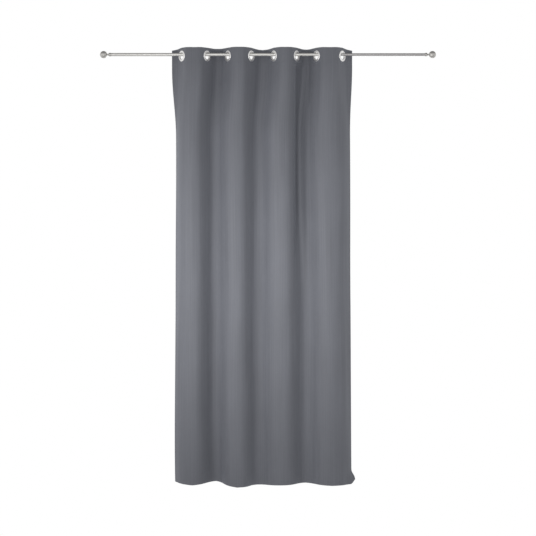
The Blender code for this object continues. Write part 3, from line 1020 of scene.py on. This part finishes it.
def tape_material():
    """White non-woven stiffener, with pressed dots and loose fibres."""
    material, tree, shader = new_material("stiff_tape", TAPE_COLOUR, 0.9)
    flat = cloth_place(tree)
    dots = tree.nodes.new("ShaderNodeTexVoronoi")
    tree.links.new(scaled_coordinates(tree, flat, (500, 500, 1)), dots.inputs["Vector"])
    fibres = noise(tree, flat, (400, 700, 1), 4.0, 0.7)
    colour = blend_colours(tree, fibres, tinted(TAPE_COLOUR, 0.85), TAPE_COLOUR)
    tree.links.new(colour, shader.inputs["Base Color"])
    tree.links.new(ramp(tree, fibres, 0.82, 0.95), shader.inputs["Roughness"])
    tree.links.new(bump(tree, dots.outputs["Distance"], 0.5, 0.0001), shader.inputs["Normal"])
    return material


def metal_material(name, colour, roughness, stretch, worn=0.06):
    """Satin nickel: fine brushing along its stretch, soft cloudiness and faint handling marks."""
    material, tree, shader = new_material(name, colour, roughness, 1.0)
    place = object_place(tree)
    brushed = noise(tree, place, stretch, 3.0, 0.65)
    clouds = noise(tree, place, (18, 18, 18), 3.0, 0.55)
    marks = noise(tree, place, (140, 140, 140), 5.0, 0.7)
    cloudy = blend_colours(tree, ramp(tree, clouds, 0, 1), tinted(colour, 1 - worn), colour)
    tree.links.new(cloudy, shader.inputs["Base Color"])
    texture = weighted(tree, (brushed, 0.6), (marks, 0.4))
    tree.links.new(ramp(tree, texture, roughness * 0.75, roughness * 1.3), shader.inputs["Roughness"])
    tree.links.new(bump(tree, brushed, 0.12, 0.00005), shader.inputs["Normal"])
    return material


def plastic_material():
    """Moulded white plastic of the plugs, faintly grained."""
    material, tree, shader = new_material("plug_plastic", PLASTIC_COLOUR, 0.5)
    grain = noise(tree, object_place(tree), (900, 900, 900), 3.0, 0.6)
    colour = blend_colours(tree, grain, tinted(PLASTIC_COLOUR, 0.9), PLASTIC_COLOUR)
    tree.links.new(colour, shader.inputs["Base Color"])
    tree.links.new(ramp(tree, grain, 0.42, 0.6), shader.inputs["Roughness"])
    tree.links.new(bump(tree, grain, 0.2, 0.0001), shader.inputs["Normal"])
    return material


# The panel

def eyelet_column(number):
    """The grid column through an eyelet's centre."""
    return np.searchsorted(ACROSS, EYELET_ACROSS[number - 1] - SAME_LINE)


def fold_blend(piece):
    """Bakes a piece's placement into its mesh."""
    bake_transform(piece)


def build_panel(cloth, thread, tape):
    """Seven stretches of the one cloth, from eyelet to eyelet, with their sewing and tape."""
    surfaces = cloth_surfaces()
    tape_sheet = tape_surfaces()
    all_rows = np.arange(len(DROP))
    tape_rows = np.flatnonzero((DROP > TAPE_TOP) & (DROP < HEADER_HEIGHT - TAPE_FOOT))
    for number in range(1, FOLDS):
        at_right = number == FOLDS - 1
        first = 0 if number == 1 else eyelet_column(number)
        last = len(ACROSS) - 1 if at_right else eyelet_column(number + 1)
        columns = np.arange(first, last + 1)
        inside = columns[(ACROSS[columns] > TAPE_INSET) & (ACROSS[columns] < PANEL_WIDTH - TAPE_INSET)]
        piece = grid_shell(f"curtain_{number}", surfaces, columns, all_rows, cloth)
        sewing = stitches(f"sewing_{number}", surfaces, ACROSS[first], ACROSS[last], thread)
        band = grid_shell(f"tape_{number}", tape_sheet, inside, tape_rows, tape)
        for made in (piece, sewing, band):
            fold_blend(made)
        folds = [number, FOLDS] if at_right else [number]
        for fold in folds:
            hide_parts(f"cloth_fold_{fold}", f"cloth_header_{fold}")
            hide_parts(f"header_tape_{fold}")


def build_rod(outer, inner, finial):
    build_tube("rod_outer_tube", "rod", outer)
    build_tube("rod_inner_tube", "inner_rod", inner)
    build_finial("left", -1, finial)
    build_finial("right", 1, finial)


def finish_plugs(material):
    for side in ("left", "right"):
        plug = frame["nodes"][f"{side}_finial_plug"]
        plug.data.materials.clear()
        plug.data.materials.append(material)


# Studio

def build_floor():
    """A pale floor a little below the hem."""
    height = CAD_LOW.z - FLOOR_BELOW
    corners = [
        (-FLOOR_SIDE, FLOOR_FRONT, height), (FLOOR_SIDE, FLOOR_FRONT, height),
        (FLOOR_SIDE, FLOOR_BACK, height), (-FLOOR_SIDE, FLOOR_BACK, height),
    ]
    material, _, shader = new_material("pale_floor", FLOOR_COLOUR, 0.6)
    shader.inputs["Emission Color"].default_value = (1, 1, 1, 1)
    shader.inputs["Emission Strength"].default_value = FLOOR_GLOW
    new_piece("floor", corners, [(0, 1, 2, 3)], material)


def area_light(name, place, size, power, spread):
    """A rectangular lamp that faces the panel's middle."""
    light = bpy.data.lights.new(name, "AREA")
    light.shape = "RECTANGLE"
    light.size, light.size_y = size
    light.energy = power
    light.spread = radians(spread)
    lamp = bpy.data.objects.new(name, light)
    lamp.location = place
    target = Vector((0, 0, (CAD_LOW.z + CAD_HIGH.z) / 2))
    lamp.rotation_euler = (target - Vector(place)).to_track_quat("-Z", "Y").to_euler()
    bpy.context.collection.objects.link(lamp)


def fade(tree, height, start, end, dim):
    """1 up to start and dim beyond end."""
    made = tree.nodes.new("ShaderNodeMapRange")
    made.interpolation_type = "SMOOTHSTEP"
    made.inputs["From Min"].default_value = start
    made.inputs["From Max"].default_value = end
    made.inputs["To Min"].default_value = 1.0
    made.inputs["To Max"].default_value = dim
    tree.links.new(height, made.inputs["Value"])
    return made.outputs["Result"]


def build_world():
    """White near the horizon, where the camera looks, and softer above and below."""
    world = bpy.data.worlds.new("studio")
    bpy.context.scene.world = world
    world.use_nodes = True
    tree = world.node_tree
    place = tree.nodes.new("ShaderNodeTexCoord").outputs["Generated"]
    parts = tree.nodes.new("ShaderNodeSeparateXYZ")
    tree.links.new(place, parts.inputs["Vector"])
    start, end = WORLD_FADE
    above = fade(tree, parts.outputs["Z"], start, end, WORLD_TOP)
    below = fade(tree, parts.outputs["Z"], -start, -end, WORLD_BOTTOM)
    tree.links.new(maths(tree, "MULTIPLY", above, below), tree.nodes["Background"].inputs["Strength"])
    tree.nodes["Background"].inputs["Color"].default_value = (1, 1, 1, 1)


def build_camera():
    """The photograph's view: level, from the front."""
    camera = bpy.data.cameras.new("camera")
    camera.sensor_width = SENSOR
    camera.lens = SENSOR * CAMERA_DISTANCE / VIEW_WIDTH
    camera.clip_end = FAR_CLIP
    view = bpy.data.objects.new("camera", camera)
    view.location = (0, -CAMERA_DISTANCE, CAMERA_HEIGHT)
    view.rotation_euler = (pi / 2, 0, 0)
    bpy.context.collection.objects.link(view)
    bpy.context.scene.camera = view


def build_studio():
    build_floor()
    build_world()
    for light in LIGHTS:
        area_light(*light)
    build_camera()
    bpy.context.scene.view_settings.view_transform = "Standard"


build_panel(cloth_material(), thread_material(), tape_material())
build_eyelets(metal_material("eyelet_nickel", EYELET_COLOUR, 0.42, (300, 300, 300)))
build_rod(
    metal_material("outer_tube_nickel", OUTER_TUBE_COLOUR, 0.50, (900, 900, 5)),
    metal_material("inner_tube_nickel", INNER_TUBE_COLOUR, 0.50, (900, 900, 5)),
    metal_material("finial_nickel", FINIAL_COLOUR, 0.40, (200, 200, 900)),
)
finish_plugs(plastic_material())
build_studio()
